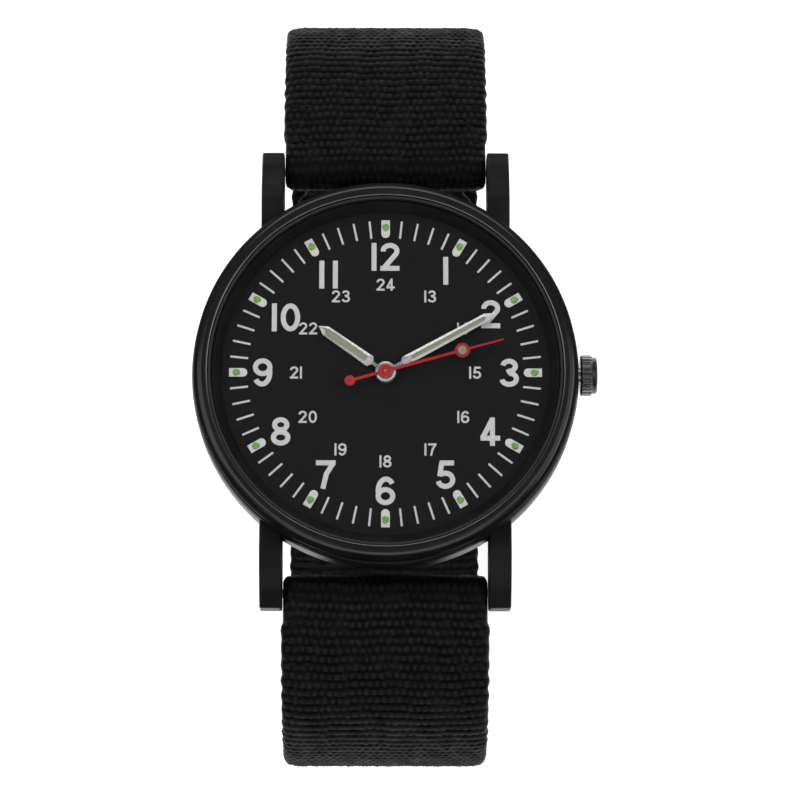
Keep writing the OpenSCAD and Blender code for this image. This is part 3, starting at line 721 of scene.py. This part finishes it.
def strip(name, line, x0, x1, body, width=None, s_from=0.0, s_to=None, shift=0.0, holes=(), flip=1):
    """Woven webbing along a line in the Y-Z plane. width(s) scales it, flip -1 mirrors it to the 6 side."""
    s, c, nrm = resampled(line, RIB / 5)
    take = (s >= s_from - 1e-9) & (s <= (s_to if s_to is not None else s[-1]) + 1e-9)
    s, c, nrm = s[take], c[take], nrm[take]
    upper, lower = section(x0, x1, BEAD / 4.2), section(x0, x1, BEAD / 2)[1:-1][::-1]
    cols = np.array([(x, h) for x, h in upper] + [(x, -h) for x, h in lower])
    xs, hs = cols[:, 0][None, :], cols[:, 1][None, :]
    ss = s[:, None]
    wrapped = (ss > fold_len - 4) & (ss < fold_len + 0.3)
    depth = WEAVE * np.abs(hs) * np.where(wrapped, 0.6, 1)
    lift = weave(ss + shift, xs + 40, depth)
    swell = (0.05 + 0.03 * np.sin(0.9 * ss)) * np.sin(TAU * (ss + shift) / (2 * RIB)) * (1 - 0.5 * np.abs(hs))
    swell = swell * np.clip((ss - fold_len - 2.8) / 0.8, 0, 1)
    wide = np.ones_like(ss) if width is None else width(ss)
    x = xs * wide + np.sign(xs) * swell * (np.abs(xs) > 9)
    droop = 0.3 * np.clip((np.abs(xs) - 8.2) / 1.9, 0, 1) ** 2
    off = np.sign(hs) * (np.abs(hs) * (WEB_T / 2 - 0.22) + lift) - droop
    y = c[:, 0][:, None] + off * nrm[:, 0][:, None]
    z = c[:, 1][:, None] + off * nrm[:, 1][:, None]
    verts = np.stack([x + 0 * y, y * flip, z], -1).reshape(-1, 3)
    m, n = len(s), cols.shape[0]
    i, j = np.meshgrid(np.arange(m - 1), np.arange(n), indexing="ij")
    a, b = i * n + j, i * n + (j + 1) % n
    quads = np.stack([a, b, b + n, a + n], -1).reshape(-1, 4)
    for hy, hz in holes:
        mid = verts[quads].mean(1)
        near = (mid[:, 0] ** 2 + (mid[:, 1] - hy) ** 2 + (mid[:, 2] - hz) ** 2) < 1.05**2
        quads = quads[~near]
    # each face takes the plain webbing, the darker copy as painted shade where it lies low between the beads, or the
    # lighter copy as painted highlight on the beads' crests; the end faces take the painted shade copy
    level = (lift / np.maximum(depth, 1e-6)).reshape(-1)[quads].mean(1)
    # near the fold round the spring bar the painted shade reaches higher up the beads and no highlight is painted: a
    # painted shadow of the fold
    fold_painted_shade = np.broadcast_to(wrapped, lift.shape).reshape(-1)[quads[:, 0]]
    painted_tone = np.where(level < np.where(fold_painted_shade, 0.7, 0.5), 1, np.where(~fold_painted_shade & (level > 0.78), 2, 0))
    faces = [tuple(q) for q in quads] + [tuple(range(n)), tuple(range((m - 1) * n, m * n))[::-1]]
    return piece(name, verts.tolist(), faces, body, [WEB, WEB_PAINTED_SHADE, WEB_PAINTED_HIGHLIGHT],
                 parts=[int(v) for v in painted_tone] + [1, 1])


def narrowed(s0):
    """Full width past the lugs, a little less between them; s0 is where the strap leaves the bar."""
    def width(s):
        t = np.clip((s - s0 - 2.75) / 0.5, 0, 1)
        t = t * t * (3 - 2 * t)
        return BETWEEN_LUGS / STRAP_W + (1.005 - BETWEEN_LUGS / STRAP_W) * np.where(s > s0, t, 0)
    return width


fold = fold_line()
fold_len = float(np.sum(np.linalg.norm(np.diff(np.array(fold), axis=0), axis=1)))


def pin_end():
    """The end of the short half: it steps out under the buckle's pin, wraps it and is turned in."""
    pts = [p[:2] for p in short_line]
    h = math.radians(short_line[-1][2])
    fwd, out = np.array([math.cos(h), math.sin(h)]), np.array([-math.sin(h), math.cos(h)])
    pin = np.array([PIN_Y, PIN_Z])
    r = 0.63 + WEB_T / 2
    keep = [p for p in pts if np.dot(np.array(p) - pin, fwd) < -5.5]
    step = spline([keep[-1], tuple(pin - fwd * 3.6 + out * 0.35), tuple(pin - fwd * 1.8 + out * 0.92),
                   tuple(pin - fwd * 0.5 + out * (r - 0.03))], 8)
    wrap = [tuple(pin + fwd * r * math.sin(math.radians(a)) + out * r * math.cos(math.radians(a)))
            for a in range(0, 181, 6)]
    back = [tuple(pin - fwd * 1.6 - out * (r - 0.1)), tuple(pin - fwd * 3.0 - out * (r - 0.35))]
    return keep + [tuple(p) for p in step[1:]] + wrap + back


def relaxed(points, far, ease):
    """Lets the bulge of the loop, beyond 31 mm from the watch's centre line, settle inwards."""
    return [(y - ease * (max(0.0, y - 31) / (far - 31)) ** 2, z) for y, z in points]


short_full = relaxed(fold + pin_end(), 41.4, 0.9)
s_all, c_all, _ = resampled(short_full, RIB / 5)
# the webbing splits in two, round the tongue, 2.6 mm before the pin
to_pin = np.hypot(c_all[:, 0] - PIN_Y, c_all[:, 1] - PIN_Z)
cut = s_all[np.argmin(np.where(s_all > fold_len + 40, to_pin - 2.6, 99) ** 2)]
main = strip("short_web", short_full, -STRAP_W / 2, STRAP_W / 2, "short_half", narrowed(fold_len), 0, cut)
legs = [strip(f"short_leg_{n}", short_full, a, b, "short_half", None, cut, None)
        for n, a, b in (("left", -STRAP_W / 2, -1.5), ("right", 1.5, STRAP_W / 2))]
short = merged("short_webbing", [main] + legs, "short_half")
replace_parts(short, "strap_short")

# the strap's holes, as (centre of the arc, its radius, angle from straight down)
hole_places = [(TAIL_C, INNER_R, -HOLE_PITCH / INNER_R * (i + 0.6)) for i in range(4)]
hole_places += [(MID_C, MID_R, HOLE_PITCH / MID_R * (i + 0.4)) for i in range(3)]


def hole_point(c, r, a):
    return c[0] + r * math.sin(a), c[1] - r * math.cos(a)


def taper(s):
    """The tail narrows to a blunt point."""
    total = fold_len + long_len
    t = np.clip((s - total + 8) / 8, 0, 1)
    return narrowed(fold_len)(s) * (1 - 0.62 * t**2.2)


long_pts = [p[:2] for p in long_line]
long_full = relaxed(fold + long_pts[1:], 37.6, 1.3)
long_len = float(np.sum(np.linalg.norm(np.diff(np.array(long_pts), axis=0), axis=1)))
centres = [hole_point(c, r, a) for c, r, a in hole_places]
long_half = strip("long_webbing", long_full, -STRAP_W / 2, STRAP_W / 2, "long_half", taper,
                  holes=[(-y, z) for y, z in centres], flip=-1, shift=0.3)
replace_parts(long_half, "strap_long")


def eyelet(index, c, r, a):
    """A melted rim through the webbing."""
    outer = [(1.2, 0.64), (1.28, 0.45), (1.05, 0.3)]
    profile = rounded([(0.82, -0.62)] + [(r, -h) for r, h in outer] + outer[::-1] + [(0.82, 0.62)], True, 0.12, 3)
    obj = lathe(f"eyelet_{index}", profile, "long_half", MELTED, 40)
    y, z = hole_point(c, r, a)
    turn = Matrix.Rotation(-a, 4, "X")
    for v in obj.data.vertices:
        p = turn @ v.co
        v.co = (p.x, p.y - y * MM, z * MM + p.z)
    return obj


merged("strap_eyelets", [eyelet(i, *h) for i, h in enumerate(hole_places)], "long_half")


def stitch_rows(name, line, body, flip, rows, x_half):
    """Rows of thread across the webbing, sunk into its surface, near both edges of one face."""
    s, c, nrm = resampled(line, 0.1)
    verts, faces = [], []
    pitch, half, ring = 1.25, 0.45, 6
    for s0 in rows:
        i = int(np.argmin(abs(s - fold_len - s0)))
        for x0 in [side * (x_half - k * pitch) for side in (-1, 1) for k in range(2)]:
            base = len(verts)
            for t in np.linspace(-1, 1, 7):
                r = 0.17 * math.sqrt(max(0.05, 1 - t**4))
                lift = WEB_T / 2 + 0.02 - 0.1 * t**2
                for q in range(ring):
                    a = TAU * q / ring
                    off = lift + r * math.sin(a)
                    along = r * math.cos(a)
                    tangent = (nrm[i, 1], -nrm[i, 0])
                    verts.append((x0 + t * half, flip * (c[i, 0] + off * nrm[i, 0] + along * tangent[0]),
                                  c[i, 1] + off * nrm[i, 1] + along * tangent[1]))
            for t in range(6):
                for q in range(ring):
                    m = (q + 1) % ring
                    near, far = base + t * ring, base + (t + 1) * ring
                    faces.append((near + q, near + m, far + m, far + q))
            faces.append(tuple(base + q for q in range(ring))[::-1])
            faces.append(tuple(base + 6 * ring + q for q in range(ring)))
    return tidy_normals(piece(name, verts, faces, body, THREAD))


stitch_rows("short_stitches", short_full, "short_half", 1, (2.5, 4.6, 6.7), 9.0)
stitch_rows("long_stitches", long_full, "long_half", -1, (2.5, 4.6, 6.7), 9.0)


def keeper(name, a0, a1, body, node):
    """A woven band round the strap, following the strap's low curve."""
    gap, wall, corner = 0.3, 0.54, 0.55
    hw, ht = STRAP_W / 2 + gap + wall / 2, WEB_T / 2 + gap + wall / 2
    ring = rounded([(-hw, -ht), (hw, -ht), (hw, ht), (-hw, ht)], True, corner, 6)
    dense = []
    for p, q in zip(ring, ring[1:] + ring[:1]):
        n = max(1, int(math.dist(p, q) / 0.18))
        dense += [tuple(np.array(p) + (np.array(q) - np.array(p)) * k / n) for k in range(n)]
    loop = np.array(dense)
    d = np.roll(loop, -1, 0) - np.roll(loop, 1, 0)
    d /= np.linalg.norm(d, axis=1)[:, None]
    out = np.stack([d[:, 1], -d[:, 0]], 1)
    walk = np.r_[0, np.cumsum(np.linalg.norm(np.diff(loop, axis=0), axis=1))]
    side = np.linspace(-1, 1, 21)
    outer = [(t, +1) for t in side] + [(t, -1) for t in side[::-1][1:-1]]
    verts = []
    arc_half = math.radians(a1 - a0) / 2
    mid = math.radians((a0 + a1) / 2)
    for i, p in enumerate(loop):
        for t, sgn in outer:
            round_off = math.sqrt(max(0.0, 1 - abs(t) ** 6))
            h = sgn * (wall / 2 - 0.09) * round_off
            if sgn > 0:
                h += float(weave(np.array(walk[i] * 1.15), np.array(t * 2.0 + 30), 0.12)) * round_off
            q = p + out[i] * h
            r = LOW_R + q[1]
            a = mid + t * arc_half
            verts.append((q[0], LOW_Y + r * math.sin(a), LOW_Z - r * math.cos(a)))
    m, n = len(loop), len(outer)
    faces = [(i * n + j, i * n + (j + 1) % n, ((i + 1) % m) * n + (j + 1) % n, ((i + 1) % m) * n + j)
             for i in range(m) for j in range(n)]
    obj = tidy_normals(piece(name, verts, faces, body, WEB))
    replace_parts(obj, node)


keeper("sewn_keeper", 15, 19, "short_half", "keeper_fixed")
keeper("sliding_keeper", 23.5, 27.5, "loose_keeper", "keeper_loose")

# ---------------------------------------------------------------- buckle
TILT = math.radians(4.5)


def at_pin(x, y, z):
    """From the buckle's own frame, drawn from its pin along -Y with the outer face down."""
    return x, PIN_Y + y * math.cos(TILT) - z * math.sin(TILT), PIN_Z + y * math.sin(TILT) + z * math.cos(TILT)


def buckle():
    out, inn, length, bar, t = 12.7, 10.4, 13.2, 1.8, 0.85
    outer = rounded([(-out, 1.45), (-out, -length), (out, -length), (out, 1.45)], True, [0, 2.6, 2.6, 0], 8)
    inner = rounded([(inn, 1.45), (inn, -length + bar), (-inn, -length + bar), (-inn, 1.45)], True, [0, 1.0, 1.0, 0], 5)
    frame_obj = prism("buckle_loop", outer + inner, -t, t, "frame", BUCKLE, at_pin)
    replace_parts(bevelled(frame_obj, 0.42, 4, 35), "buckle_frame")
    notch_in, notch_out = -length + bar + 0.6, -length - 1
    cutter = prism("notch", [(-1.25, notch_out), (1.25, notch_out), (1.25, notch_in), (-1.25, notch_in)],
                   -t - 1, 0.0, "frame", BUCKLE, at_pin)
    cut_mod = frame_obj.modifiers.new("notch", "BOOLEAN")
    cut_mod.object = cutter
    cut_mod.operation = "DIFFERENCE"
    cut_mod.solver = "EXACT"
    frame_obj.modifiers.remove(frame_obj.modifiers["normals"])
    bpy.context.view_layer.update()
    done = bpy.data.meshes.new_from_object(frame_obj.evaluated_get(bpy.context.evaluated_depsgraph_get()))
    frame_obj.modifiers.clear()
    frame_obj.data = done
    bpy.data.objects.remove(cutter)
    weighted(frame_obj)
    rows = [(-0.9, 0.55, 0.95, -0.5), (-1.6, 0.5, 0.95, -0.42), (-3.5, 0.42, 0.95, -0.42), (-9, 0.4, 0.88, -0.46),
            (-11.8, 0.38, 0.8, -0.5), (-12.8, 0.32, 0.66, -0.5), (-13.25, 0.2, 0.35, -0.48)]
    verts, faces, ring = [], [], 16
    for y, h, w, zc in rows:
        for q in range(ring):
            a = TAU * q / ring
            cx, sx = math.cos(a), math.sin(a)
            verts.append(at_pin(w * math.copysign(abs(cx) ** 0.6, cx), y, zc + h * math.copysign(abs(sx) ** 0.6, sx)))
    for r in range(len(rows) - 1):
        for q in range(ring):
            m = (q + 1) % ring
            faces.append((r * ring + q, r * ring + m, (r + 1) * ring + m, (r + 1) * ring + q))
    faces += [tuple(range(ring)), tuple(range((len(rows) - 1) * ring, len(rows) * ring))[::-1]]
    arm = tidy_normals(piece("arm", verts, faces, "tongue", BUCKLE))
    eye = lathe("eye", rounded([(0.63, -1.15), (1.26, -1.15), (1.26, 1.15), (0.63, 1.15)], True, 0.16), "tongue",
                BUCKLE, 48, "x", (0, PIN_Y, PIN_Z))
    prong = merged("buckle_prong", [arm, eye], "tongue")
    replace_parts(prong, "buckle_tongue")


buckle()

# ---------------------------------------------------------------- CAD nodes that stay
FINISH = {
    "dial": DIAL, "crystal": GLASS, "case_back": BRUSHED, "case_back_gasket": RUBBER, "crown_gasket": RUBBER,
    "movement_ring": HOLDER, "circuit_board": BOARD, "ic_chip": CHIP, "coil": COPPER,
    **{n: BRASS for n in ("dial_washer", "main_plate", "intermediate_wheel", "seconds_wheel", "third_wheel",
                          "centre_wheel", "cannon_pinion", "minute_wheel", "hour_wheel", "setting_wheel",
                          "battery_contact")},
    **{n: STEEL for n in ("train_bridge", "movement_screws", "coil_core", "stator", "rotor", "sliding_pinion",
                          "stem", "setting_lever", "yoke", "crown_tube", "battery", "battery_clamp", "quartz_can",
                          "spring_bar_12", "spring_bar_6", "bar_pin_12_right", "bar_pin_12_left",
                          "bar_pin_6_right", "bar_pin_6_left", "buckle_pin")},
}
for name, mat in FINISH.items():
    obj = bpy.data.objects[name]
    for slot in obj.material_slots:
        slot.material = mat

# ---------------------------------------------------------------- floor, lights and camera
FLOOR_Z = min(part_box("strap_short")[0][2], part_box("buckle_tongue")[0][2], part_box("buckle_frame")[0][2])
FLOOR_HALF = 1.6
floor_mat, floor_shader = principled("floor_paper", (0.93, 0.93, 0.93), 0.8, spec=0.2)
floor_shader.inputs["Emission Color"].default_value = (1, 1, 1, 1)
floor_shader.inputs["Emission Strength"].default_value = 0.25
ramp(floor_mat, noise(floor_mat, 30, 2), (0.92, 0.92, 0.92), (0.94, 0.94, 0.94), floor_shader, "Base Color")
mesh = bpy.data.meshes.new("floor")
mesh.from_pydata([(FLOOR_HALF * x, FLOOR_HALF * y, FLOOR_Z) for x, y in ((-1, -1), (1, -1), (1, 1), (-1, 1))],
                 [], [(0, 1, 2, 3)])
mesh.materials.append(floor_mat)
floor = bpy.data.objects.new("floor", mesh)
bpy.context.scene.collection.objects.link(floor)


def softbox(name, place, aim, size, power, size_y):
    light = bpy.data.lights.new(name, "AREA")
    light.shape = "RECTANGLE"
    light.size = size
    light.size_y = size_y
    light.energy = power
    obj = bpy.data.objects.new(name, light)
    obj.location = place
    obj.rotation_euler = (Vector(aim) - Vector(place)).to_track_quat("-Z", "Y").to_euler()
    bpy.context.scene.collection.objects.link(obj)
    return obj


for name, place, width, height, power, seen in (
        ("key", (-0.35, 0.35, 0.55), 0.4, 0.4, 4.4, False),
        ("fill", (0.45, 0.05, 0.5), 0.4, 0.4, 2.9, False),
        ("front", (-0.1, -0.6, 0.4), 0.5, 0.5, 1.6, False),
        ("back_panel", (0.0, 0.62, 0.52), 0.75, 0.28, 1.0, True),
        ("front_ring", (0.0, -0.44, 0.67), 0.8, 0.4, 0.8, True),
        ("left_ring", (-0.44, 0.0, 0.67), 0.4, 0.8, 0.75, True),
        ("right_ring", (0.44, 0.0, 0.67), 0.4, 0.8, 0.65, True),
        ("right_strip", (0.6, -0.05, 0.35), 0.5, 0.14, 0.35, True)):
    softbox(name, place, (0, 0, 0), width, power, height).visible_glossy = seen

world = bpy.data.worlds.new("studio")
bpy.context.scene.world = world
world.use_nodes = True
world.node_tree.nodes["Background"].inputs["Color"].default_value = (1, 1, 1, 1)
world.node_tree.nodes["Background"].inputs["Strength"].default_value = 0.12
bpy.context.scene.view_settings.view_transform = "Standard"

TILT_Y, TILT_X = math.radians(10.9), math.radians(-0.4)
DISTANCE = 0.350
VIEW_W = 0.0780
target = Vector((1.41 * MM, -2.72 * MM, DIAL_Z * MM))
cam_data = bpy.data.cameras.new("camera")
cam_data.sensor_width = 36
cam_data.lens = 36 * DISTANCE / VIEW_W
cam_data.clip_start = 0.01
cam = bpy.data.objects.new("camera", cam_data)
direction = Vector((math.sin(TILT_X), -math.sin(TILT_Y), math.cos(TILT_Y) * math.cos(TILT_X))).normalized()
cam.location = target + direction * DISTANCE
right = Vector((0, 1, 0)).cross(direction).normalized()
cam.rotation_euler = Matrix((right, direction.cross(right), direction)).transposed().to_euler()
bpy.context.scene.collection.objects.link(cam)
bpy.context.scene.camera = cam
